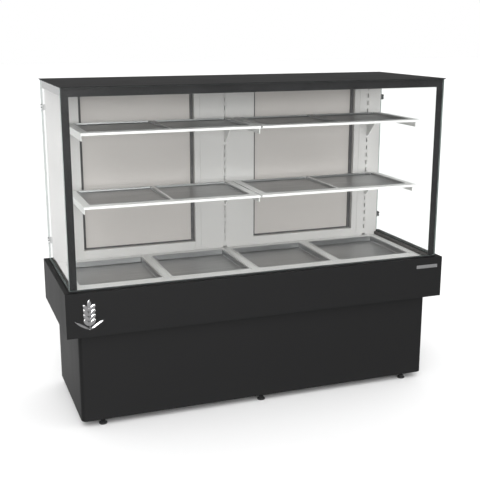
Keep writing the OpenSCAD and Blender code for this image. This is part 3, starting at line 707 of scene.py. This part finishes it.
def make_shelves():
    """Four half shelves: folded white sheet with two tray wells each."""
    trays = ["upper_tray_3", "upper_tray_4"]
    low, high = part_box("upper_shelf_right")
    first = pressed_sheet("upper_shelf_right_sheet", low, high, high.z,
                          [well_under(t) for t in trays], COAT_SHEET, lip=5 * MM,
                          fold=high.z - low.z - COAT_SHEET)
    place(first, CASE, slot_of("upper_shelf_right"), "upper_shelf_right")
    for node in ("upper_shelf_left", "lower_shelf_left", "lower_shelf_right"):
        copy = copy_moved(first, node + "_sheet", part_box(node)[0] - low)
        place(copy, CASE, slot_of(node), node)


# ---- Trays ----

def tray_pan(name, node, corner, floor_bend):
    """A pressed steel pan with a flat rim, rounded corners and slightly sloping walls."""
    low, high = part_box(node)
    pan = flat_sheet(name, low, high, high.z)
    depth = high.z - low.z - TRAY_SHEET
    draft = 0.6 * MM
    open_mesh(pan, "VERT")
    bpy.ops.mesh.bevel(offset=corner, segments=6, affect="VERTICES")
    bpy.ops.mesh.select_mode(type="FACE")
    bpy.ops.mesh.select_all(action="SELECT")
    bpy.ops.mesh.inset(thickness=TRAY_LAP + TRAY_GAP + TRAY_SHEET, depth=0)
    bpy.ops.mesh.extrude_region_move(TRANSFORM_OT_translate={"value": (0, 0, -depth)})
    width = high.x - low.x
    length = high.y - low.y
    centre = ((low.x + high.x) / 2, (low.y + high.y) / 2, high.z - depth)
    bpy.ops.transform.resize(value=(1 - 2 * draft / width, 1 - 2 * draft / length, 1),
                             center_override=centre)
    bpy.ops.mesh.region_to_loop()
    bpy.ops.mesh.bevel(offset=floor_bend, segments=4, affect="EDGES")
    face_outwards()
    close_mesh()
    turn_up(pan, high.z)
    modify(pan, "SOLIDIFY", thickness=TRAY_SHEET, offset=-1)
    ease(pan, 0.25 * MM, segments=1, angle=50)
    polish(pan, 40)
    return pan


def make_trays():
    """The twelve lift-out trays: four deep ones in the deck and eight shallow ones on shelves."""
    rows = [("deck_tray_1", 10 * MM, 4 * MM, [f"deck_tray_{i}" for i in range(1, 5)]),
            ("lower_tray_1", 9 * MM, 2 * MM,
             [f"{level}_tray_{i}" for level in ("lower", "upper") for i in range(1, 5)])]
    for model, corner, floor_bend, nodes in rows:
        first = tray_pan(model + "_pan", model, corner, floor_bend)
        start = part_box(model)[0]
        for node in nodes:
            pan = first
            if node != model:
                pan = copy_moved(first, node + "_pan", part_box(node)[0] - start)
            place(pan, body_of(node), slot_of(node), node)


# ---- Glass ----

def make_glass():
    """Three panes with ground and polished edges."""
    panes = {"front_glass": "y", "left_glass": "x", "right_glass": "x"}
    for node, across in panes.items():
        low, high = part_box(node)
        pane = block(node + "_pane", low, high)
        ease(pane, 0.8 * MM)
        polish(pane)
        place(pane, CASE, slot_of(node), node)
        pane.data.materials.append(finishes["glass_edge"])
        for face in pane.data.polygons:
            on_face = abs(getattr(face.normal, across)) > 0.99
            face.material_index = 0 if on_face else 1


def make_border():
    """The enamel border on the inside of the panes."""
    border = taken_from("glass_border", "enamel_border")
    polish(border)
    place(border, CASE, slot_of("glass_border"), "glass_border")


# ---- Doors ----

def hinge_axis(door):
    """The x and y of a door's pivots."""
    joint = next(j for j in frame["joints"] if j["child"] == door)
    return joint["pos_m"][0], joint["pos_m"][1]


def make_doors():
    """Two hollow doors: a folded outer pan over an inner liner, with a pressed field behind."""
    low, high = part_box("door_right")
    door = block("door_right_leaf", low, high)
    seam_y = low.y + 0.35 * (high.y - low.y)
    seam_half = 0.5 * MM
    seam_depth = 0.8 * MM
    field_inset = 34 * MM
    field_slope = 3 * MM
    field_depth = 2.2 * MM
    bore_r = 4.05 * MM
    bore_length = 26 * MM
    open_mesh(door)
    bpy.ops.mesh.bisect(plane_co=(0, seam_y, 0), plane_no=(0, 1, 0))
    pick(door, "EDGE", lambda mid, way: near(mid.y, seam_y))
    bpy.ops.mesh.bevel(offset=seam_half, segments=1, affect="EDGES")
    pick(door, "FACE", lambda mid, way: near(mid.y, seam_y) and abs(way.y) < 0.5)
    bpy.ops.mesh.extrude_region_shrink_fatten(TRANSFORM_OT_shrink_fatten={"value": -seam_depth})
    pick(door, "FACE", lambda mid, way: way.y > 0.9 and near(mid.y, high.y))
    bpy.ops.mesh.inset(thickness=field_inset, depth=0)
    bpy.ops.mesh.inset(thickness=field_slope, depth=-field_depth)
    close_mesh()
    pivot_x, pivot_y = hinge_axis("right_door")
    for z in (low.z, high.z):
        cut(door, rod("bore", (pivot_x, pivot_y, z), bore_r, bore_length))
    ease(door, 0.9 * MM, segments=3, angle=25)
    polish(door)
    place(door, "right_door", slot_of("door_right"), "door_right")
    place(copy_mirrored(door, "door_left_leaf"), "left_door", slot_of("door_left"), "door_left")
    make_door_seals()
    make_handles()


def make_door_seals():
    """Rubber seals with a channel pressed all round their face."""
    seal = taken_from("door_seal_right", "door_seal_right_ring")
    lip = 3 * MM
    channel_slope = 1 * MM
    channel_depth = 1.6 * MM
    open_mesh(seal)
    pick(seal, "FACE", lambda mid, way: way.y < -0.9)
    bpy.ops.mesh.inset(thickness=lip, depth=0, use_even_offset=True)
    bpy.ops.mesh.inset(thickness=channel_slope, depth=-channel_depth, use_even_offset=True)
    close_mesh()
    ease(seal, 0.6 * MM)
    polish(seal)
    place(seal, "right_door", slot_of("door_seal_right"), "door_seal_right")
    copy = copy_mirrored(seal, "door_seal_left_ring")
    place(copy, "left_door", slot_of("door_seal_left"), "door_seal_left")


def make_handles():
    """A round bar on two posts with spread feet, on each door."""
    low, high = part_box("door_handle_right")
    radius = 6 * MM
    x = (low.x + high.x) / 2
    y = high.y - radius
    length = high.z - low.z
    dome = 1.5 * MM
    post_r = 5 * MM
    foot_r = 9 * MM
    inset = 15 * MM
    handle = turned("door_handle_right_bar", [
        (radius - dome, 0), (radius - 0.4 * MM, 0.4 * dome), (radius, dome),
        (radius, length - dome), (radius - 0.4 * MM, length - 0.4 * dome),
        (radius - dome, length)], (x, y, low.z), sides=40)
    reach = y - low.y
    foot = [(foot_r, 0), (foot_r, 1.2 * MM), (7.6 * MM, 2.4 * MM), (5.4 * MM, 4.5 * MM),
            (post_r, 7 * MM), (post_r, reach)]
    for z in (low.z + inset, high.z - inset):
        post = turned("post", foot, (x, low.y, z), (-math.pi / 2, 0, 0), sides=40)
        cut(handle, post, "UNION")
    polish(handle, 30)
    place(handle, "right_door", slot_of("door_handle_right"), "door_handle_right")
    copy = copy_mirrored(handle, "door_handle_left_bar")
    place(copy, "left_door", slot_of("door_handle_left"), "door_handle_left")


# ---- Small fittings ----

def make_clamps():
    """Metal clips on the rear edges of the side glass, with a socket in each lobe."""
    low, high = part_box("glass_clamps")
    clamps = taken_from("glass_clamps", "glass_clamp_set")
    ease(clamps, 0.5 * MM)
    lobe = CLAMP_H / 4
    socket_r = 2.2 * MM
    socket_length = 2.4 * MM
    for side in (-1, 1):
        for foot in (low.z, high.z - CLAMP_H):
            for z in (foot + lobe, foot + 3 * lobe):
                spot = (side * high.x, low.y + lobe, z)
                cut(clamps, rod("socket", spot, socket_r, socket_length, "X", sides=6))
    polish(clamps)
    place(clamps, CASE, slot_of("glass_clamps"), "glass_clamps")


def grain(name, length, width, thick):
    """One grain of the ear, standing on its lower point: a pointed oval, domed, with a crease."""
    tip = 0.07 * length
    crease = 0.25 * thick
    bpy.ops.object.select_all(action="DESELECT")
    bpy.ops.mesh.primitive_uv_sphere_add(segments=24, ring_count=12, radius=0.5,
                                         location=(0, 0, length / 2))
    kernel = named(name)
    kernel.scale = (width, 2 * thick, length - 2 * tip)
    settle(kernel)
    open_mesh(kernel)
    bpy.ops.mesh.bisect(plane_co=(0, 0, 0), plane_no=(0, 1, 0), use_fill=True, clear_outer=True)
    for end, rise in ((tip, -tip), (length - tip, tip)):
        pick(kernel, "VERT", lambda mid, way: abs(mid.z - end) < 0.01 * length
             and abs(mid.x) < 0.1 * width)
        bpy.ops.transform.translate(value=(0, 0, rise))
    pick(kernel, "VERT", lambda mid, way: near(mid.x, 0) and mid.y < -0.3 * thick)
    bpy.ops.transform.translate(value=(0, crease, 0))
    face_outwards()
    close_mesh()
    return kernel


def make_badges():
    """A corn ear of paired grains over two long leaves, and a blank plate, in place of any mark."""
    low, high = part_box("front_badges")
    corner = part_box("collar_front")[0]
    thick = corner.y - low.y
    ear_x = corner.x + EAR_INSET
    stem = 1.5 * MM
    stem_top = 0.8 * EAR_H
    length = 0.3 * EAR_H
    width = 0.45 * length
    leaf_length = 0.55 * EAR_H
    leaf_width = 0.15 * leaf_length
    first_pair = 0.14
    pair_step = 0.16
    ear = block("ear_emblem", (ear_x - stem, low.y, low.z),
                (ear_x + stem, corner.y, low.z + stem_top))
    ease(ear, 0.5 * MM)
    kernel = grain("kernel", length, width, thick)
    leaf = grain("leaf", leaf_length, leaf_width, thick)
    spots = [(leaf, 0, stem, side * LEAF_LEAN) for side in (-1, 1)]
    spots += [(kernel, side * MM, EAR_H * (first_pair + pair_step * i), side * GRAIN_LEAN)
              for i in range(4) for side in (-1, 1)]
    spots.append((kernel, 0, EAR_H - length, 0))
    for model, x, z, turn in spots:
        copy = copy_moved(model, "ear_part", (0, 0, 0))
        copy.location = (ear_x + x, corner.y, low.z + z)
        copy.rotation_euler = (0, turn, 0)
        settle(copy)
        cut(ear, copy, "UNION")
    bpy.data.objects.remove(kernel)
    bpy.data.objects.remove(leaf)
    polish(ear, 25)
    place(ear, CASE, slot_of("front_badges"), "front_badges")
    make_plate(high, low.y, corner.y)


def make_plate(high, front, back):
    """A blank plate with a raised rim."""
    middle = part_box("collar_front")[1].z - PLATE_DROP
    corner_r = 2.5 * MM
    rim = 1.2 * MM
    rim_slope = 0.3 * MM
    rim_height = 0.4 * MM
    plate = block("blank_plate", (high.x - PLATE_W, front, middle - PLATE_H / 2),
                  (high.x, back, middle + PLATE_H / 2))
    open_mesh(plate)
    pick(plate, "EDGE", lambda mid, way: abs(way.y) > 0.9)
    bpy.ops.mesh.bevel(offset=corner_r, segments=5, affect="EDGES")
    pick(plate, "FACE", lambda mid, way: way.y < -0.9)
    bpy.ops.mesh.inset(thickness=rim, depth=0)
    bpy.ops.mesh.inset(thickness=rim_slope, depth=-rim_height)
    close_mesh()
    ease(plate, 0.15 * MM)
    polish(plate)
    place(plate, CASE, slot_of("front_badges"), "front_badges")


def screw(name, head, depth):
    """A pan-head screw with a cross recess, its head's underside at the origin."""
    shank_r = 2 * MM
    shank_length = 1.6 * MM
    rim = 0.35 * depth
    arm = 1.1 * head / 2
    arm_half = 0.22 * head / 2
    piece = turned(name, [(shank_r, -shank_length), (shank_r, 0), (head, 0), (head, rim),
                          (0.86 * head, 0.75 * depth), (0.55 * head, depth)])
    for x, y in ((arm, arm_half), (arm_half, arm)):
        cut(piece, block("slot", (-x, -y, rim), (x, y, 2 * depth)))
    polish(piece, 30)
    return piece


def make_screws():
    """Screws in the back of the plinth and collar, and the plugs in the collar's sides."""
    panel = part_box("base_back_panel")
    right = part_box("base_right_panel")[1].x
    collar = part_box("collar_back")
    collar_z = collar[0].z + SCREW_UP
    head_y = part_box("panel_screws")[1].y
    model = screw("screw_model", HEAD_R, HEAD_H)
    spots = []
    for x in (-(right - SCREW_INSET), 0, right - SCREW_INSET):
        spots.append((x, panel[1].y, panel[0].z + SCREW_INSET))
        spots.append((x, panel[1].y, panel[1].z - SCREW_INSET))
        spots.append((x, head_y - HEAD_H, collar_z))
    screws = None
    for spot in spots:
        copy = copy_moved(model, "panel_screw_set", (0, 0, 0))
        copy.location = spot
        copy.rotation_euler = (-math.pi / 2, 0, 0)
        settle(copy)
        if screws is None:
            screws = copy
        else:
            select_only(screws)
            copy.select_set(True)
            bpy.ops.object.join()
    bpy.data.objects.remove(model)
    place(screws, CASE, slot_of("panel_screws"), "panel_screws")
    make_plugs(collar_z)


def make_plugs(height):
    """A dark plug with a dimple in each side of the collar."""
    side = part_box("collar_right")
    plug_h = 0.5 * MM
    shank_r = 2 * MM
    spot = (side[1].x - plug_h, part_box("collar_front")[0].y + PLUG_BACK, height)
    rings = [(shank_r, -1.4 * MM), (shank_r, 0), (HEAD_R, 0), (HEAD_R, 0.3 * MM),
             (4.7 * MM, plug_h), (1.8 * MM, plug_h), (1.5 * MM, 0.1 * MM)]
    plug = turned("collar_plug_right", rings, spot, (0, math.pi / 2, 0))
    polish(plug, 30)
    place(plug, CASE, "foot_plastic", "panel_screws")
    place(copy_mirrored(plug, "collar_plug_left"), CASE, "foot_plastic", "panel_screws")


def make_feet():
    """Levelling feet: a ribbed plastic pad, a nut and a threaded stud."""
    model = "foot_front_left"
    low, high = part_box(model)
    radius = (high.x - low.x) / 2
    centre = Vector(((low.x + high.x) / 2, (low.y + high.y) / 2, 0))
    pad_top = 8 * MM
    groove = 0.8 * MM
    pad = turned("pad_model", [
        (radius - 1.2 * MM, 0), (radius, 1 * MM), (radius, 2.2 * MM), (radius - groove, 2.5 * MM),
        (radius - groove, 3.1 * MM), (radius, 3.4 * MM), (radius, 5 * MM),
        (radius - 1.5 * MM, 6.5 * MM), (radius - 4 * MM, pad_top)], centre, sides=48)
    polish(pad, 30)
    nut_r = 9.8 * MM
    nut_end_r = 8.6 * MM
    nut_top = 14 * MM
    nut_chamfer = 0.7 * MM
    nut = turned("nut_model", [(nut_end_r, pad_top), (nut_r, pad_top + nut_chamfer),
                               (nut_r, nut_top - nut_chamfer), (nut_end_r, nut_top)],
                 centre, sides=6)
    crest_r = 5 * MM
    root_r = 4.5 * MM
    pitch = 1.25 * MM
    turns = 16
    thread_foot = 14.4 * MM
    rings = [(4.6 * MM, pad_top)]
    for i in range(turns):
        rings.append((root_r, thread_foot + i * pitch))
        rings.append((crest_r, thread_foot + (i + 0.5) * pitch))
    rings.append((root_r, high.z))
    stud = turned("stud_model", rings, centre, sides=24)
    select_only(nut)
    stud.select_set(True)
    bpy.ops.object.join()
    polish(nut, 30)
    for row in ("front", "back"):
        for column in ("left", "centre", "right"):
            node = f"foot_{row}_{column}"
            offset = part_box(node)[0] - low
            for part, finish, word in ((pad, "foot_plastic", "_pad"), (nut, "dark_zinc", "_stud")):
                copy = copy_moved(part, node + word, offset)
                place(copy, body_of(node), "foot_plastic", node)
                copy.data.materials[0] = finishes[finish]
    bpy.data.objects.remove(pad)
    bpy.data.objects.remove(nut)


def make_floor():
    """A wide pale floor."""
    corner = Vector((FLOOR_REACH, FLOOR_REACH, 0))
    floor = flat_sheet("floor", -corner, corner, 0)
    floor.data.materials.append(studio_floor(gloss_front=0.35, gloss_back=0.95))


# ---- The case ----

finishes = {
    "black_coat": powder_coat("black_coat", (0.0075, 0.0075, 0.0078), 0.55, 0.05 * MM, 0.25),
    "white_coat": powder_coat("white_coat", (0.78, 0.775, 0.765), 0.38, 0.03 * MM),
    "light_grey_coat": powder_coat("light_grey_coat", (0.62, 0.605, 0.595), 0.42, 0.03 * MM),
    "door_grey_coat": powder_coat("door_grey_coat", (0.56, 0.525, 0.505), 0.42, 0.03 * MM),
    "tray_steel": brushed_metal("tray_steel", (0.46, 0.463, 0.466), 0.36, (0.02, 1, 1)),
    "satin_steel": brushed_metal("satin_steel", (0.60, 0.60, 0.61), 0.28, (1, 1, 0.05)),
    "dark_zinc": brushed_metal("dark_zinc", (0.07, 0.07, 0.072), 0.42, (1, 1, 0.3)),
    "bright_chrome": brushed_metal("bright_chrome", (0.80, 0.80, 0.81), 0.16, (0.03, 1, 1), 1.6),
    "clear_glass": clear_glass(),
    "glass_edge": glass_edge(),
    "black_enamel": fired_enamel(),
    "seal_rubber": moulded("seal_rubber", (0.095, 0.093, 0.094), 0.66, 900, 0.04 * MM, 0.3),
    "gasket_rubber": moulded("gasket_rubber", (0.016, 0.016, 0.017), 0.66, 900, 0.04 * MM, 0.3),
    # A lighter, glossier dark grey for the collar ledge: a painted sheen.
    "ledge_painted_sheen": powder_coat("ledge_painted_sheen", (0.075, 0.07, 0.066), 0.5, 0.04 * MM, 0.4),
    "foot_plastic": moulded("foot_plastic", (0.022, 0.022, 0.023), 0.5, 700, 0.03 * MM),
}

set_camera()
set_world(seen=1.0, horizon=0.6, zenith=1.3, gloss_front=0.16, gloss_back=0.34)
add_sun("key", towards=(0.25, 0.75, -0.6), strength=1.5, spread=50)
add_sun("fill", towards=(0.1, 0.99, -0.03), strength=2.0, spread=20)
make_floor()

for panel in ("base_front_panel", "base_left_panel", "base_right_panel", "base_back_panel",
              "collar_front", "collar_back"):
    folded_panel(panel, 0.7 * MM, segments=3)
for side in ("left", "right"):
    make_collar_side(side)
for panel in ("base_frame", "collar_bottom", "roof_frame", "roof_panel"):
    folded_panel(panel, 0.8 * MM)
for panel in ("column_left", "column_centre", "column_right", "slotted_standards"):
    folded_panel(panel, 0.35 * MM)
for level in ("lower", "upper"):
    for side in ("left", "centre", "right"):
        folded_panel(f"{level}_bracket_{side}", 0.4 * MM)
gasket = folded_panel("glass_gasket", 0.4 * MM)
gasket.data.materials[0] = finishes["gasket_rubber"]
folded_panel("door_pivots", 0.8 * MM)
make_deck()
make_shelves()
make_trays()
make_glass()
make_border()
make_doors()
make_clamps()
make_badges()
make_screws()
make_feet()

bpy.context.scene.view_settings.view_transform = "Standard"
